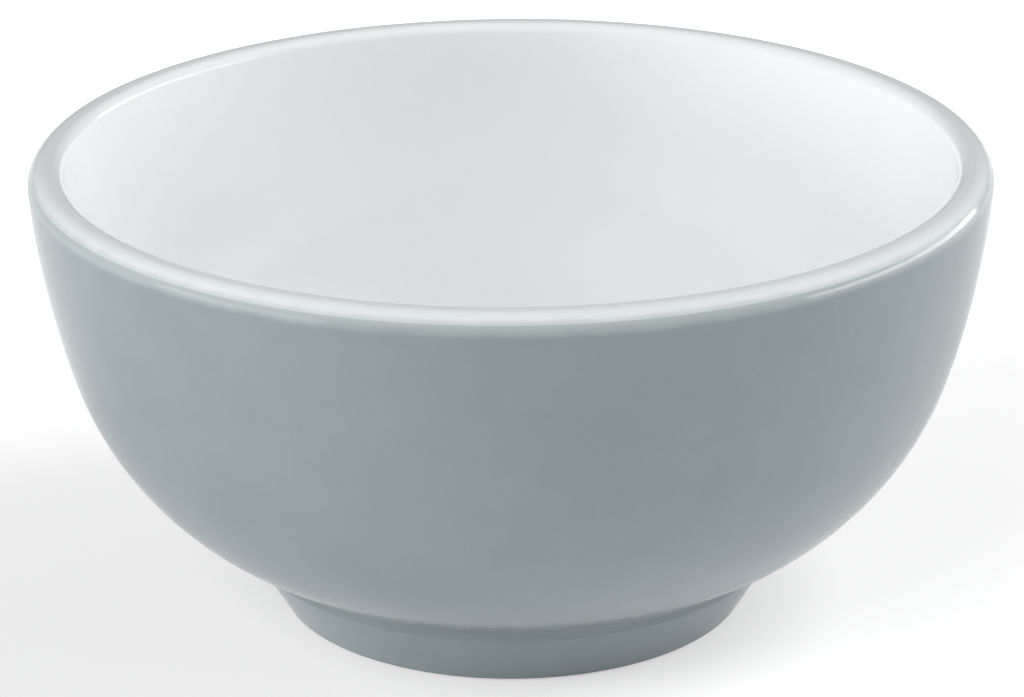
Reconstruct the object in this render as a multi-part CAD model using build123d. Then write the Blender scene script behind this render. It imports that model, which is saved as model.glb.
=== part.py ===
from build123d import *
from math import cos, radians, sin, sqrt, tan
import os

# A round footed bowl in glazed stoneware, modelled about the Z axis.
# The origin is at the centre of the foot's resting plane. Millimetres and degrees.
# Every section is drawn in the (radius, height) plane and turned once round Z.

# Driving dimensions of the glazed bowl
RIM_RADIUS = 65.0            # widest point of the lip
HEIGHT = 64.0                # resting plane to the lip's crest
WALL = 4.9                   # glazed wall, the same from the lip to the floor
GLAZE = 0.35                 # one coat of glaze

# Outside of the wall: the lip, a nearly straight flank and a round belly, all tangent
LIP_OUTER_RADIUS = 2.6
LIP_INNER_RADIUS = 1.6
FLANK_DRAFT = 4.3            # lean of the flank where it leaves the lip
FLANK_RADIUS = 114.0
BELLY_START = 17.5           # lean where the flank turns into the belly
BELLY_RADIUS = 43.0
COLOUR_LINE = 32.0           # angle up the lip's outer rounding where the two glazes meet

# Foot: a ring that tapers down and in from a ridge, with a low upright collar above the ridge
RIDGE_HEIGHT = 7.8
RIDGE_RADIUS = 36.6          # also the collar's radius
FOOT_RADIUS = 31.9           # glazed radius at the resting plane
FOOT_JOINT_HEIGHT = 3.8      # plane where the ring is luted to the bowl
RECESS_RADIUS = 27.4         # at the recess's ceiling
RECESS_DRAFT = 5.0
GROOVE_FILLET = 0.7          # glazed radius of the crease between belly and collar
RIDGE_FILLET = 0.5
RECESS_FILLET = 1.5
FOOT_EDGE_FILLET = 0.4       # bare clay, inner and outer edge of the contact face
WIPED_HEIGHT = 0.4           # the glaze is wiped back to here

# Construction values
PAST_AXIS = 5.0              # sections run past the axis and are trimmed to it
CLEAR = 10.0                 # cutters stand this far outside the bowl


def polar(centre, radius, angle):
    """Point at an angle in degrees on a circle in the (radius, height) plane."""
    return (centre[0] + radius * cos(radians(angle)), centre[1] + radius * sin(radians(angle)))


LIP_CENTRE = (RIM_RADIUS - LIP_OUTER_RADIUS, HEIGHT - LIP_OUTER_RADIUS)
FLANK_CENTRE = polar(polar(LIP_CENTRE, LIP_OUTER_RADIUS, -FLANK_DRAFT), -FLANK_RADIUS, -FLANK_DRAFT)
BELLY_CENTRE = polar(polar(FLANK_CENTRE, FLANK_RADIUS, -BELLY_START), -BELLY_RADIUS, -BELLY_START)
RECESS_CEILING = BELLY_CENTRE[1] - BELLY_RADIUS
FOOT_TAPER = (RIDGE_RADIUS - FOOT_RADIUS) / RIDGE_HEIGHT


def box_between(low, high):
    """Rectangle in the (radius, height) plane from its lowest to its highest corner."""
    size = (high[0] - low[0], high[1] - low[1])
    return Pos(low[0] + size[0] / 2, low[1] + size[1] / 2) * Rectangle(*size)


def bowl_blank(depth, top):
    """Solid bowl shape, depth under the glazed outside, cut off level at top."""
    flank, belly = FLANK_RADIUS - depth, BELLY_RADIUS - depth
    bottom = BELLY_CENTRE[1] - belly
    rise = top - FLANK_CENTRE[1]
    top_edge = (FLANK_CENTRE[0] + sqrt(flank**2 - rise**2), top)
    turn = polar(FLANK_CENTRE, flank, -BELLY_START)
    middle_lean = -(BELLY_START + 90) / 2
    outline = Curve() + [
        Line((-PAST_AXIS, bottom), (BELLY_CENTRE[0], bottom)),
        ThreePointArc((BELLY_CENTRE[0], bottom), polar(BELLY_CENTRE, belly, middle_lean), turn),
        RadiusArc(turn, top_edge, -flank),
        Line(top_edge, (-PAST_AXIS, top)),
        Line((-PAST_AXIS, top), (-PAST_AXIS, bottom)),
    ]
    return make_face(outline)


def crease_height(skin):
    """Height at which the belly stands over the collar, both skin under the glazed outside."""
    reach = RIDGE_RADIUS - skin - BELLY_CENTRE[0]
    return BELLY_CENTRE[1] - sqrt((BELLY_RADIUS - skin) ** 2 - reach**2)


def foot_blank(skin):
    """Solid foot and collar, skin under the glazed outside. The collar runs on up into the belly's wall."""
    low, high = skin - GLAZE, crease_height(0) + WALL / 2
    inset = skin * sqrt(1 + FOOT_TAPER**2)
    collar = RIDGE_RADIUS - skin
    outline = [
        (-PAST_AXIS, low),
        (FOOT_RADIUS + FOOT_TAPER * low - inset, low),
        (collar, (collar + inset - FOOT_RADIUS) / FOOT_TAPER),
        (collar, high),
        (-PAST_AXIS, high),
    ]
    return make_face(Polyline(*outline, close=True))


def recess(skin):
    """Space inside the foot ring, skin beyond the glazed surface."""
    low, high = skin - GLAZE, RECESS_CEILING + skin
    slope = tan(radians(RECESS_DRAFT))
    inset = skin * sqrt(1 + slope**2)
    outline = [
        (-PAST_AXIS, low),
        (RECESS_RADIUS + slope * (RECESS_CEILING - low) + inset, low),
        (RECESS_RADIUS + slope * (RECESS_CEILING - high) + inset, high),
        (-PAST_AXIS, high),
    ]
    return make_face(Polyline(*outline, close=True))


def rounded(section, corner, radius):
    """Round the section's vertex that is nearest to a corner."""
    return fillet(section.vertices().sort_by_distance((*corner, 0))[0], radius)


def bowl_section(skin):
    """Section of the whole bowl, skin under its glazed surface."""
    crest = HEIGHT - skin
    section = bowl_blank(skin, crest) + foot_blank(skin)
    section = section - bowl_blank(WALL - skin, HEIGHT + CLEAR) - recess(skin)
    base = skin - GLAZE
    base_edge = FOOT_EDGE_FILLET + GLAZE - skin
    section = rounded(section, (RIM_RADIUS, crest), LIP_OUTER_RADIUS - skin)
    section = rounded(section, (RIM_RADIUS - WALL, crest), LIP_INNER_RADIUS - skin)
    section = rounded(section, (RIDGE_RADIUS - skin, crease_height(skin)), GROOVE_FILLET + skin)
    section = rounded(section, (RIDGE_RADIUS, RIDGE_HEIGHT), RIDGE_FILLET - skin)
    section = rounded(section, (FOOT_RADIUS, base), base_edge)
    section = rounded(section, (RECESS_RADIUS, base), base_edge)
    section = rounded(section, (RECESS_RADIUS, RECESS_CEILING + skin), RECESS_FILLET + skin)
    return section & box_between((0, -CLEAR), (RIM_RADIUS + CLEAR, HEIGHT + CLEAR))


def turned(section):
    """Revolve a (radius, height) section once round Z."""
    return revolve(Plane.XZ * section, Axis.Z, 360)


# Clay: the bowl above the luting plane, the foot ring below it
biscuit = bowl_section(GLAZE)
below_joint = box_between((0, -CLEAR), (RIM_RADIUS, FOOT_JOINT_HEIGHT))
bowl_body = turned(biscuit - below_joint)
foot_ring = turned(biscuit & below_joint)

# Glaze: what lies between the glazed outside and the clay, above the wiped line
wiped = box_between((0, -CLEAR), (RIM_RADIUS, WIPED_HEIGHT))
coat = bowl_section(0) - biscuit - wiped
in_recess = box_between((0, -CLEAR), ((FOOT_RADIUS + RECESS_RADIUS) / 2, RIDGE_HEIGHT))
core = bowl_blank(WALL / 2, HEIGHT + CLEAR)
above_line = Pos(*LIP_CENTRE) * Rot(0, 0, COLOUR_LINE) * box_between((-2 * RIM_RADIUS, 0), (CLEAR, CLEAR))
outer_coat = coat - in_recess - core - above_line
inner_glaze = turned(coat - in_recess - outer_coat)
outer_glaze = turned(outer_coat)
recess_glaze = turned(coat & in_recess)

os.makedirs("parts", exist_ok=True)
for name, solid in {
    "bowl_body": bowl_body,
    "foot_ring": foot_ring,
    "inner_glaze": inner_glaze,
    "outer_glaze": outer_glaze,
    "recess_glaze": recess_glaze,
}.items():
    export_step(solid, f"parts/{name}.step")
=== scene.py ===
"""A glazed stoneware bowl on a pale studio floor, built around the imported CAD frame. Metres."""

import math

import bmesh
import bpy
from mathutils import Matrix, Vector, noise


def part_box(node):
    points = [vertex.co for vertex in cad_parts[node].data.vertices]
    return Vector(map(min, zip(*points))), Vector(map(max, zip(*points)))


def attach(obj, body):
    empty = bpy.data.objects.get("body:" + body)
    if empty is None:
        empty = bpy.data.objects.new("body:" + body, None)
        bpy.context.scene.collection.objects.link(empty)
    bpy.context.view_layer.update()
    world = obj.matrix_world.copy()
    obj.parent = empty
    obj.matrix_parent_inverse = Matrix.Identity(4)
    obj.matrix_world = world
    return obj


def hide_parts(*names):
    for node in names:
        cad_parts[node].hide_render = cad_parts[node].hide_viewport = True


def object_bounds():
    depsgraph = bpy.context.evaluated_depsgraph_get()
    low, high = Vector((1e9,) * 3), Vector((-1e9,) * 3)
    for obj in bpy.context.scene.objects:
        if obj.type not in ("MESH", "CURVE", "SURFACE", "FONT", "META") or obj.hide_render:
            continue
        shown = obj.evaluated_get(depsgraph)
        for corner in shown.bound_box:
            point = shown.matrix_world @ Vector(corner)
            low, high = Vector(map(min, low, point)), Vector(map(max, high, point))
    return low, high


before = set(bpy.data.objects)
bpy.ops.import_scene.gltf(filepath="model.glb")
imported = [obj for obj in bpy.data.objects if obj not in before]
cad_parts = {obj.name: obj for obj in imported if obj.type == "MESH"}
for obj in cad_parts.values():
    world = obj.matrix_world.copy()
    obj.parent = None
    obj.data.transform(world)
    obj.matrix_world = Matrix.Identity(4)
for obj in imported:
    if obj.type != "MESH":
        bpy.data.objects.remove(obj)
CAD_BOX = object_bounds()

MM = 0.001
BODY = "root"

# Sizes that the frame gives
RIM_RADIUS = CAD_BOX[1][0]
HEIGHT = CAD_BOX[1][2]
WIPED_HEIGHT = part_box("outer_glaze")[0].z
FLOOR_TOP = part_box("inner_glaze")[0].z

# The bowl's section, as it is in the CAD: tangent arcs, in metres and degrees
WALL = 4.9 * MM
GLAZE = 0.35 * MM
LIP_OUTER_RADIUS = 2.6 * MM
LIP_INNER_RADIUS = 1.6 * MM
FLANK_DRAFT = 4.3
FLANK_RADIUS = 114 * MM
BELLY_START = 17.5
BELLY_RADIUS = 43 * MM
COLOUR_LINE = 32.0
RIDGE_HEIGHT = 7.8 * MM
RIDGE_RADIUS = 36.6 * MM
FOOT_RADIUS = 31.9 * MM
RECESS_RADIUS = 27.4 * MM
RECESS_DRAFT = 5.0
GROOVE_FILLET = 0.7 * MM
RIDGE_FILLET = 0.5 * MM
RECESS_FILLET = 1.5 * MM

# Lathe work
SEGMENTS = 360
ON_AXIS = 1e-6
SHARP_ANGLE = math.radians(50)
GLAZE_RELIEF = 0.05 * MM     # how far a coat's surface may sink below its outline
RECESS_RELIEF = 0.04 * MM
SWELL = 14 * MM              # size of the coats' slow swells
RIPPLE = 0.27 * SWELL        # size of the finer ripple over them
RIPPLE_SHARE = 0.25
JOINED_GAP = 0.2 * MM        # outline stretches closer than this share one point
STRAIGHT_STEP = 1.2 * MM


# ---------------------------------------------------------------- section geometry


def polar(centre, radius, degrees):
    """Point at an angle on a circle in the (radius, height) plane."""
    angle = math.radians(degrees)
    return (centre[0] + radius * math.cos(angle), centre[1] + radius * math.sin(angle))


class Arc:
    """A stretch of the glazed outline. Concave arcs grow with depth under the glaze, others shrink."""

    def __init__(self, centre, radius, start, end, concave=False, steps=12):
        self.centre, self.radius, self.start, self.end = centre, radius, start, end
        self.concave, self.steps = concave, steps

    def points(self, depth, coarse=1):
        """(radius, height) points and outward normals, depth under the glazed surface."""
        radius = self.radius + (depth if self.concave else -depth)
        sign = -1 if self.concave else 1
        steps = max(2, self.steps // coarse)
        found = []
        for i in range(steps + 1):
            angle = self.start + (self.end - self.start) * i / steps
            normal = (sign * math.cos(math.radians(angle)), sign * math.sin(math.radians(angle)))
            found.append((polar(self.centre, radius, angle), normal))
        return found


LIP_CENTRE = (RIM_RADIUS - LIP_OUTER_RADIUS, HEIGHT - LIP_OUTER_RADIUS)
FLANK_CENTRE = polar(polar(LIP_CENTRE, LIP_OUTER_RADIUS, -FLANK_DRAFT), -FLANK_RADIUS, -FLANK_DRAFT)
BELLY_CENTRE = polar(polar(FLANK_CENTRE, FLANK_RADIUS, -BELLY_START), -BELLY_RADIUS, -BELLY_START)
FOOT_TAPER = (RIDGE_RADIUS - FOOT_RADIUS) / RIDGE_HEIGHT
TAPER_ANGLE = math.degrees(math.atan(FOOT_TAPER))
RECESS_CEILING = BELLY_CENTRE[1] - BELLY_RADIUS


def reach(centre, radius, height):
    """Radius at which a circle's outer side stands at a height."""
    return centre[0] + math.sqrt(radius**2 - (height - centre[1]) ** 2)


def outer_outline():
    """The grey coat's outline from the colour line down to the wiped foot."""
    groove_radius = RIDGE_RADIUS + GROOVE_FILLET
    drop = math.sqrt((BELLY_RADIUS + GROOVE_FILLET) ** 2 - (groove_radius - BELLY_CENTRE[0]) ** 2)
    groove = (groove_radius, BELLY_CENTRE[1] - drop)
    meets = math.degrees(math.atan2(-drop, groove_radius - BELLY_CENTRE[0]))
    ridge_radius = RIDGE_RADIUS - RIDGE_FILLET
    side = ridge_radius + RIDGE_FILLET / math.cos(math.radians(TAPER_ANGLE))
    ridge = (ridge_radius, (side - FOOT_RADIUS) / FOOT_TAPER)
    return [
        Arc(LIP_CENTRE, LIP_OUTER_RADIUS, COLOUR_LINE, -FLANK_DRAFT, steps=16),
        Arc(FLANK_CENTRE, FLANK_RADIUS, -FLANK_DRAFT, -BELLY_START, steps=40),
        Arc(BELLY_CENTRE, BELLY_RADIUS, -BELLY_START, meets, steps=70),
        Arc(groove, GROOVE_FILLET, meets + 180, 180, concave=True, steps=12),
        Arc(ridge, RIDGE_FILLET, 0, -TAPER_ANGLE, steps=8),
    ]


def inner_outline():
    """The white coat's outline from the colour line over the lip and down to the floor."""
    flank, belly = FLANK_RADIUS - WALL, BELLY_RADIUS - WALL
    height = HEIGHT - LIP_INNER_RADIUS
    lip = (reach(FLANK_CENTRE, flank + LIP_INNER_RADIUS, height), height)
    meets = math.degrees(math.atan2(height - FLANK_CENTRE[1], lip[0] - FLANK_CENTRE[0]))
    return [
        Arc(LIP_CENTRE, LIP_OUTER_RADIUS, COLOUR_LINE, 90, steps=20),
        Arc(lip, LIP_INNER_RADIUS, 90, 180 + meets, steps=24),
        Arc(FLANK_CENTRE, flank, meets, -BELLY_START, concave=True, steps=36),
        Arc(BELLY_CENTRE, belly, -BELLY_START, -90, concave=True, steps=64),
    ]


def recess_outline():
    """The coat's outline inside the foot, up from the wiped line and in to the axis."""
    height = RECESS_CEILING - RECESS_FILLET
    slope = math.tan(math.radians(RECESS_DRAFT))
    wall = RECESS_RADIUS + slope * (RECESS_CEILING - height)
    corner = (wall - RECESS_FILLET / math.cos(math.radians(RECESS_DRAFT)), height)
    return [Arc(corner, RECESS_FILLET, RECESS_DRAFT, 90, concave=True, steps=16)]


def straight(start, end, steps):
    """Points between two (point, normal) pairs, both ends left out."""
    (p, normal), (q, _) = start, end
    spread = []
    for i in range(1, steps):
        t = i / steps
        spread.append(((p[0] + (q[0] - p[0]) * t, p[1] + (q[1] - p[1]) * t), normal))
    return spread


def outline_points(arcs, depth, head=None, tail=None, coarse=1):
    """Points down an outline at a depth: its arcs, the straight runs between them, and any straight ends."""
    runs = [arc.points(depth, coarse) for arc in arcs]
    found = [head] if head else []
    for run in runs + ([[tail]] if tail else []):
        gap = math.dist(found[-1][0], run[0][0]) if found else 0
        if gap > JOINED_GAP:
            found += straight(found[-1], run[0], max(1, round(gap / STRAIGHT_STEP) // coarse))
        elif found:
            found.pop()
        found += run
    return found


# ---------------------------------------------------------------- lathe work


def unevenness(place, amount):
    """How far a glaze surface lies below its highest level, in metres: slow swells and a finer ripple."""
    slow = noise.noise(Vector(place) / SWELL)
    fine = noise.noise(Vector(place) / RIPPLE + Vector((7.0, 3.0, 5.0)))
    return amount * (0.5 - 0.5 * max(-1.0, min(1.0, slow + RIPPLE_SHARE * fine)))


def lathe(name, outside, inside, material, slot_name, node, relief):
    """A closed turned shell between an outside and an inside run of (point, normal) pairs.
    relief lets the outside sink below its outline by up to that much."""
    mesh = bmesh.new()
    loop = list(outside) + list(reversed(inside))
    rings = []
    for index, ((radius, height), normal) in enumerate(loop):
        amount = relief if index < len(outside) else 0.0
        if radius < ON_AXIS:
            sink = unevenness((0, 0, height), amount)
            rings.append([mesh.verts.new((0, 0, height - sink * normal[1]))])
            continue
        ring = []
        for k in range(SEGMENTS):
            turn = 2 * math.pi * k / SEGMENTS
            place = (radius * math.cos(turn), radius * math.sin(turn), height)
            sink = unevenness(place, amount)
            r = radius - sink * normal[0]
            ring.append(mesh.verts.new((r * math.cos(turn), r * math.sin(turn), height - sink * normal[1])))
        rings.append(ring)
    open_ends = len(rings[0]) == 1
    pairs = list(zip(rings, rings[1:])) + ([] if open_ends else [(rings[-1], rings[0])])
    for first, second in pairs:
        if len(first) == 1 and len(second) == 1:
            continue
        for k in range(SEGMENTS):
            beside = (k + 1) % SEGMENTS
            if len(first) == 1:
                mesh.faces.new((first[0], second[beside], second[k]))
            elif len(second) == 1:
                mesh.faces.new((first[k], first[beside], second[0]))
            else:
                mesh.faces.new((first[k], first[beside], second[beside], second[k]))
    bmesh.ops.recalc_face_normals(mesh, faces=mesh.faces)
    for face in mesh.faces:
        face.smooth = True
    data = bpy.data.meshes.new(name)
    mesh.to_mesh(data)
    mesh.free()
    data.set_sharp_from_angle(angle=SHARP_ANGLE)
    piece = bpy.data.objects.new(name, data)
    bpy.context.scene.collection.objects.link(piece)
    piece.data.materials.append(material)
    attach(piece, BODY)
    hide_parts(node)


# ---------------------------------------------------------------- materials

WHITE = (0.870, 0.888, 0.896)
WHITE_SHADE = (0.858, 0.876, 0.884)
GREY = (0.240, 0.284, 0.297)
GREY_SHADE = (0.229, 0.272, 0.285)
GREY_DEEP = (0.20, 0.24, 0.26)
GREY_UNDER_LIP_LINE = (0.17, 0.21, 0.205)
# paler grey: thin glaze at the lip, also used as painted shade on the white lip's top and painted light on
# the grey lip's rounding
THIN_GREY_AND_PAINTED_LIGHT = (0.45, 0.50, 0.495)
SPECK = (0.12, 0.12, 0.11)
CLAY = (0.66, 0.60, 0.51)
CLAY_SHADE = (0.50, 0.44, 0.36)
GROG = (0.24, 0.19, 0.14)
GLAZE_IOR = 1.5
WHITE_ROUGHNESS = (0.07, 0.11)
GREY_ROUGHNESS = (0.09, 0.15)
CLAY_ROUGHNESS = (0.78, 0.92)

# Where the glazes change, and where painted shade and painted light go over the lip: on the white, distances
# in from the rim; on the grey, depths under the crest
LIP_THIN_AND_SHADED = (WALL, 3.4 * MM)
WHITE_MEETS_GREY = (1.1 * MM, 0.4 * MM)
GREY_THIN_AND_LIT = (1.1 * MM, 3.3 * MM)
UNDER_LIP_LINE_STARTS = (2.2 * MM, 2.7 * MM)
UNDER_LIP_LINE_ENDS = (2.8 * MM, 3.2 * MM)


class Nodes:
    """Small helper that adds and links shader nodes."""

    def __init__(self, name):
        self.material = bpy.data.materials.new(name)
        self.material.use_nodes = True
        self.tree = self.material.node_tree
        self.shader = self.tree.nodes["Principled BSDF"]
        self.coords = self.tree.nodes.new("ShaderNodeTexCoord").outputs["Object"]

    def add(self, kind, **settings):
        node = self.tree.nodes.new(kind)
        for key, value in settings.items():
            setattr(node, key, value)
        return node

    def link(self, output, target):
        self.tree.links.new(output, target)

    def math(self, operation, a, b):
        node = self.add("ShaderNodeMath", operation=operation)
        for socket, value in zip(node.inputs, (a, b)):
            if isinstance(value, (int, float)):
                socket.default_value = value
            else:
                self.link(value, socket)
        return node.outputs[0]

    def noise(self, size, detail=3.0, roughness=0.5):
        """Noise whose features are about size metres across."""
        node = self.add("ShaderNodeTexNoise")
        node.inputs["Scale"].default_value = 1 / size
        node.inputs["Detail"].default_value = detail
        node.inputs["Roughness"].default_value = roughness
        self.link(self.coords, node.inputs["Vector"])
        return node.outputs["Fac"]

    def wander(self, size, amount):
        """Offset of up to about half of amount either way, with features about size metres across."""
        return self.math("MULTIPLY", self.math("SUBTRACT", self.noise(size), 0.5), amount)

    def cells(self, size):
        """Distance from the nearest of scattered points about size metres apart, in sizes."""
        node = self.add("ShaderNodeTexVoronoi", feature="F1")
        node.inputs["Scale"].default_value = 1 / size
        self.link(self.coords, node.inputs["Vector"])
        return node.outputs["Distance"]

    def ramp(self, value, *stops):
        """Colour ramp from (position, colour) stops."""
        node = self.add("ShaderNodeValToRGB")
        ramp = node.color_ramp
        while len(ramp.elements) < len(stops):
            ramp.elements.new(0.5)
        for element, (position, colour) in zip(ramp.elements, stops):
            element.position = position
            element.color = (*colour, 1)
        self.link(value, node.inputs["Fac"])
        return node.outputs["Color"]

    def remap(self, value, low, high, to_low, to_high):
        """Value eased from one range into another, held at the ends."""
        node = self.add("ShaderNodeMapRange", clamp=True, interpolation_type="SMOOTHSTEP")
        for socket, number in zip(node.inputs[1:5], (low, high, to_low, to_high)):
            socket.default_value = number
        self.link(value, node.inputs[0])
        return node.outputs[0]

    def mix(self, factor, a, b):
        """Blend from colour a to colour b."""
        node = self.add("ShaderNodeMix", data_type="RGBA")
        for socket, value in ((node.inputs["Factor"], factor), (node.inputs[6], a), (node.inputs[7], b)):
            if isinstance(value, tuple):
                socket.default_value = (*value, 1)
            else:
                self.link(value, socket)
        return node.outputs[2]

    def height(self):
        """Height above the resting plane, in metres."""
        split = self.add("ShaderNodeSeparateXYZ")
        self.link(self.coords, split.inputs[0])
        return split.outputs["Z"]

    def radius(self):
        """Distance from the bowl's axis, in metres."""
        flat = self.add("ShaderNodeVectorMath", operation="MULTIPLY")
        flat.inputs[1].default_value = (1, 1, 0)
        self.link(self.coords, flat.inputs[0])
        length = self.add("ShaderNodeVectorMath", operation="LENGTH")
        self.link(flat.outputs["Vector"], length.inputs[0])
        return length.outputs["Value"]

    def bump(self, value, distance, strength):
        """Relief of the surface's shading, up to distance metres."""
        node = self.add("ShaderNodeBump")
        node.inputs["Distance"].default_value = distance
        node.inputs["Strength"].default_value = strength
        self.link(value, node.inputs["Height"])
        self.link(node.outputs["Normal"], self.shader.inputs["Normal"])


def white_glaze():
    """Glossy opaque white: cloudy depth, a fine orange-peel skin, thinner and greyer towards the grey, and
    painted shade greying the lip's top.
    """
    n = Nodes("white_glaze")
    colour = n.ramp(n.noise(22 * MM, detail=4), (0.35, WHITE_SHADE), (0.65, WHITE))
    radius = n.math("ADD", n.radius(), n.wander(4 * MM, 0.5 * MM))
    # thin white over the lip, plus painted shade darkening the lip's top
    lip_thin_and_shaded = n.remap(radius, RIM_RADIUS - LIP_THIN_AND_SHADED[0], RIM_RADIUS - LIP_THIN_AND_SHADED[1], 0, 0.27)
    meets = n.remap(radius, RIM_RADIUS - WHITE_MEETS_GREY[0], RIM_RADIUS - WHITE_MEETS_GREY[1], 0, 0.6)
    colour = n.mix(meets, n.mix(lip_thin_and_shaded, colour, THIN_GREY_AND_PAINTED_LIGHT), THIN_GREY_AND_PAINTED_LIGHT)
    n.link(colour, n.shader.inputs["Base Color"])
    n.link(n.remap(n.noise(6 * MM), 0.3, 0.7, *WHITE_ROUGHNESS), n.shader.inputs["Roughness"])
    n.shader.inputs["IOR"].default_value = GLAZE_IOR
    n.bump(n.noise(1.6 * MM, detail=2), 0.008 * MM, strength=0.4)
    return n.material


def grey_glaze(breaks_at_lip=True):
    """Glossy blue-grey with faint mottling and a few dark specks. Over the lip it thins to a paler grey,
    laid on also as painted light over the lip's shaded rounding, and a darker line runs just under the lip."""
    n = Nodes("grey_glaze" if breaks_at_lip else "recess_grey_glaze")
    mottle = n.noise(9 * MM, detail=6, roughness=0.6)
    colour = n.ramp(mottle, (0.38, GREY_SHADE), (0.62, GREY))
    fine = n.noise(0.7 * MM, detail=2)
    colour = n.mix(n.remap(fine, 0.55, 0.8, 0.0, 0.2), colour, GREY_DEEP)
    if breaks_at_lip:
        down = n.math("ADD", n.math("SUBTRACT", HEIGHT, n.height()), n.wander(5 * MM, 0.6 * MM))
        # a darker band just under the lip
        starts = n.remap(down, *UNDER_LIP_LINE_STARTS, 0, 1)
        under_lip_line = n.math("MULTIPLY", starts, n.remap(down, *UNDER_LIP_LINE_ENDS, 1, 0))
        colour = n.mix(n.math("MULTIPLY", under_lip_line, 0.2), colour, GREY_UNDER_LIP_LINE)
        # paler grey over the lip's rounding: thin glaze, and painted light that lifts the rounding's shade
        colour = n.mix(n.remap(down, *GREY_THIN_AND_LIT, 0.9, 0), colour, THIN_GREY_AND_PAINTED_LIGHT)
    spot = n.remap(n.cells(4.5 * MM), 0.02, 0.045, 1, 0)
    chosen = n.math("GREATER_THAN", n.noise(11 * MM, detail=0), 0.62)
    colour = n.mix(n.math("MULTIPLY", n.math("MULTIPLY", spot, chosen), 0.5), colour, SPECK)
    n.link(colour, n.shader.inputs["Base Color"])
    n.link(n.remap(n.noise(5 * MM), 0.3, 0.7, *GREY_ROUGHNESS), n.shader.inputs["Roughness"])
    n.shader.inputs["IOR"].default_value = GLAZE_IOR
    n.bump(n.noise(0.9 * MM, detail=3), 0.006 * MM, strength=0.4)
    return n.material


def bare_clay():
    """Matt sandy stoneware with grog specks and the rings left by wiping the foot on the wheel."""
    n = Nodes("bare_clay")
    grain = n.noise(0.5 * MM, detail=5, roughness=0.7)
    colour = n.ramp(grain, (0.3, CLAY_SHADE), (0.7, CLAY))
    colour = n.mix(n.remap(n.cells(0.9 * MM), 0.08, 0.16, 0.6, 0), colour, GROG)
    n.link(colour, n.shader.inputs["Base Color"])
    n.link(n.remap(grain, 0.3, 0.7, *CLAY_ROUGHNESS), n.shader.inputs["Roughness"])
    rings = n.add("ShaderNodeTexWave", wave_type="RINGS", rings_direction="Z")
    rings.inputs["Scale"].default_value = 1 / (3.2 * MM)
    rings.inputs["Distortion"].default_value = 0.6
    n.link(n.coords, rings.inputs["Vector"])
    n.bump(n.math("ADD", n.math("MULTIPLY", rings.outputs["Fac"], 0.5), grain), 0.05 * MM, strength=0.8)
    return n.material


# ---------------------------------------------------------------- the pieces


def make_inner_glaze(material):
    """White coat: over the lip from the colour line and down to the floor's middle."""
    arcs = inner_outline()
    middle = ((0.0, FLOOR_TOP + GLAZE), (0.0, 1.0))
    under = ((0.0, FLOOR_TOP), (0.0, 1.0))
    outside = list(reversed(outline_points(arcs, 0.0, tail=middle)))
    inside = list(reversed(outline_points(arcs, GLAZE, tail=under, coarse=2)))
    lathe("white_glaze_coat", outside, inside, material, "white_glaze", "inner_glaze", GLAZE_RELIEF)


def make_outer_glaze(material):
    """Grey coat: from the colour line down the wall, over the collar and ridge, to the wiped foot."""
    arcs = outer_outline()
    tilt = math.radians(TAPER_ANGLE)
    normal = (math.cos(tilt), -math.sin(tilt))
    foot = FOOT_RADIUS + FOOT_TAPER * WIPED_HEIGHT
    inset = GLAZE / math.cos(tilt)
    outside = outline_points(arcs, 0.0, tail=((foot, WIPED_HEIGHT), normal))
    inside = outline_points(arcs, GLAZE, tail=((foot - inset, WIPED_HEIGHT), normal), coarse=2)
    lathe("grey_glaze_coat", outside, inside, material, "grey_glaze", "outer_glaze", GLAZE_RELIEF)


def make_recess_glaze(material):
    """Grey coat inside the foot's recess, up from the wiped line and across the ceiling."""
    lean = math.radians(RECESS_DRAFT)
    normal = (-math.cos(lean), -math.sin(lean))
    wall = RECESS_RADIUS + math.tan(lean) * (RECESS_CEILING - WIPED_HEIGHT)
    runs = []
    for depth, coarse in ((0.0, 1), (GLAZE, 2)):
        head = ((wall + depth / math.cos(lean), WIPED_HEIGHT), normal)
        tail = ((0.0, RECESS_CEILING + depth), (0.0, -1.0))
        runs.append(list(reversed(outline_points(recess_outline(), depth, head, tail, coarse))))
    lathe("recess_glaze_coat", *runs, material, "grey_glaze", "recess_glaze", RECESS_RELIEF)


def finish_clay(material):
    """The CAD's clay pieces stay, with a new material."""
    for node in ("bowl_body", "foot_ring"):
        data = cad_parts[node].data
        data.materials.clear()
        data.materials.append(material)


make_inner_glaze(white_glaze())
make_outer_glaze(grey_glaze())
make_recess_glaze(grey_glaze(breaks_at_lip=False))
finish_clay(bare_clay())


# ---------------------------------------------------------------- studio


BOUNCE_GLOW = 0.12           # of the floor that lights the bowl
SHOWN_GLOW = 0.30            # of the floor that is seen, near the bowl
BACKDROP_GLOW = 0.85         # of the backdrop, and of the seen floor far from the bowl
GLOW_CHANGES = (0.5, 2.0)    # distances from the bowl's axis between which the seen floor brightens
FLOOR_WHITE = (0.96, 0.96, 0.96)
FLOOR_SHADE = (0.94, 0.94, 0.94)
STAGE_RADIUS = 6.0
STAGE_SIDES = 128
BACKDROP_RADIUS = 0.98 * STAGE_RADIUS
BACKDROP_DEPTH = 2 * STAGE_RADIUS


def hide_from_light(stage):
    """A stage piece that the camera sees, and that neither lights nor shades anything."""
    stage.visible_diffuse = False
    stage.visible_glossy = False
    stage.visible_transmission = False
    stage.visible_shadow = False


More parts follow.
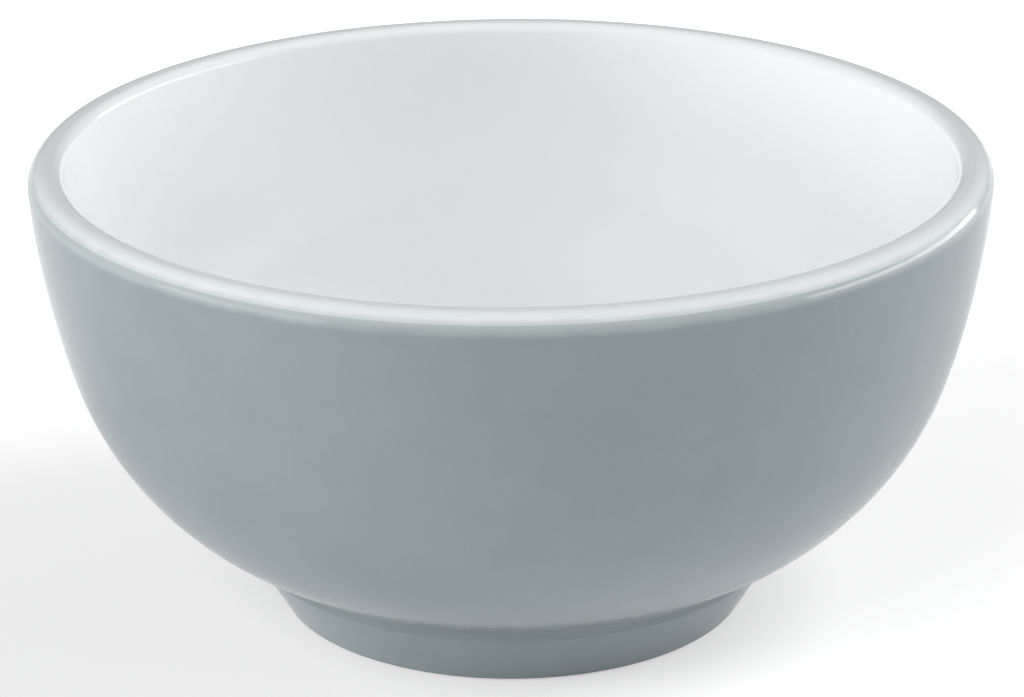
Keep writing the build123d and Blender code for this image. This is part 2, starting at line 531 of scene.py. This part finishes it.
def pale_floor(name):
    """Pale seamless floor with white emission of no strength yet, and its nodes."""
    bpy.ops.mesh.primitive_circle_add(vertices=STAGE_SIDES, radius=STAGE_RADIUS, fill_type="NGON")
    floor = bpy.context.object
    floor.name = name
    n = Nodes(name)
    n.link(n.ramp(n.noise(0.3), (0.3, FLOOR_SHADE), (0.7, FLOOR_WHITE)), n.shader.inputs["Base Color"])
    n.shader.inputs["Roughness"].default_value = 0.9
    n.shader.inputs["Specular IOR Level"].default_value = 0.1
    n.shader.inputs["Emission Color"].default_value = (1, 1, 1, 1)
    floor.data.materials.append(n.material)
    return floor, n


def studio_floors():
    """Two floors in one place. The first lights the bowl; the second, nearly white, is the one seen."""
    bounce, n = pale_floor("bounce_floor")
    n.shader.inputs["Emission Strength"].default_value = BOUNCE_GLOW
    bounce.visible_camera = False
    bounce.visible_shadow = False
    shown, n = pale_floor("studio_floor")
    glow = n.remap(n.radius(), *GLOW_CHANGES, SHOWN_GLOW, BACKDROP_GLOW)
    n.link(glow, n.shader.inputs["Emission Strength"])
    hide_from_light(shown)


def backdrop():
    """Pale round backdrop just inside the floor's edge, which lights nothing."""
    bpy.ops.mesh.primitive_cylinder_add(
        vertices=STAGE_SIDES, radius=BACKDROP_RADIUS, depth=BACKDROP_DEPTH, end_fill_type="NOTHING"
    )
    wall = bpy.context.object
    wall.name = "backdrop"
    n = Nodes("backdrop")
    n.shader.inputs["Base Color"].default_value = (0, 0, 0, 1)
    n.shader.inputs["Specular IOR Level"].default_value = 0
    n.shader.inputs["Emission Color"].default_value = (1, 1, 1, 1)
    n.shader.inputs["Emission Strength"].default_value = BACKDROP_GLOW
    wall.data.materials.append(n.material)
    hide_from_light(wall)


# name: azimuth and elevation seen from the bowl in degrees; distance, width and height in metres;
# power in watts; and whether it is seen in the gloss
SOFTBOXES = {
    "left_low": (206, 8, 1.5, 1.2, 0.35, 2.4, True),
    "left_behind": (188, 6, 1.5, 1.0, 0.3, 6.6, False),
    "left_high": (220, 36, 1.6, 1.6, 0.9, 17.0, False),
    "right_low": (12, 8, 1.5, 1.9, 0.35, 9.0, True),
    "right_high": (0, 46, 1.6, 1.1, 1.2, 17.0, False),
}


def softbox(name, azimuth, elevation, distance, width, height, power, in_gloss):
    """White area light aimed at the bowl's middle. One out of the gloss only adds soft light."""
    light = bpy.data.lights.new(name, "AREA")
    light.shape = "RECTANGLE"
    light.size, light.size_y = width, height
    light.energy = power
    lamp = bpy.data.objects.new(name, light)
    bpy.context.scene.collection.objects.link(lamp)
    a, e = math.radians(azimuth), math.radians(elevation)
    aim = Vector((math.cos(e) * math.cos(a), math.cos(e) * math.sin(a), math.sin(e)))
    lamp.location = Vector((0, 0, HEIGHT / 2)) + distance * aim
    lamp.rotation_euler = aim.to_track_quat("Z", "Y").to_euler()
    lamp.visible_camera = False
    lamp.visible_glossy = in_gloss


WORLD_COLOUR = (0.97, 0.99, 1.0, 1)
WORLD_STRENGTH = 0.12


def studio_world():
    """Even soft surround."""
    world = bpy.data.worlds.new("studio")
    world.use_nodes = True
    background = world.node_tree.nodes["Background"]
    background.inputs["Color"].default_value = WORLD_COLOUR
    background.inputs["Strength"].default_value = WORLD_STRENGTH
    bpy.context.scene.world = world


CAMERA_DISTANCE = 8.5 * RIM_RADIUS
CAMERA_ELEVATION = math.radians(18.09)
VIEW_PITCH = math.radians(20.88)
VIEW_ROLL = math.radians(-0.37)
FOCAL_LENGTH = 143.7
SENSOR_WIDTH = 36.0


def studio_camera():
    """Long lens, looking down over the rim at the front."""
    camera = bpy.data.objects.new("camera", bpy.data.cameras.new("camera"))
    bpy.context.scene.collection.objects.link(camera)
    back = CAMERA_DISTANCE * math.cos(CAMERA_ELEVATION)
    up = CAMERA_DISTANCE * math.sin(CAMERA_ELEVATION)
    place = Matrix.Translation((0, -back, HEIGHT + up))
    tilt = Matrix.Rotation(math.pi / 2 - VIEW_PITCH, 4, "X")
    camera.matrix_world = place @ tilt @ Matrix.Rotation(VIEW_ROLL, 4, "Z")
    camera.data.sensor_width = SENSOR_WIDTH
    camera.data.lens = FOCAL_LENGTH
    camera.data.clip_start = 0.05
    camera.data.clip_end = 50.0
    bpy.context.scene.camera = camera


studio_floors()
backdrop()
studio_world()
studio_camera()
for box_name, setting in SOFTBOXES.items():
    softbox(box_name, *setting)
bpy.context.scene.view_settings.view_transform = "Standard"
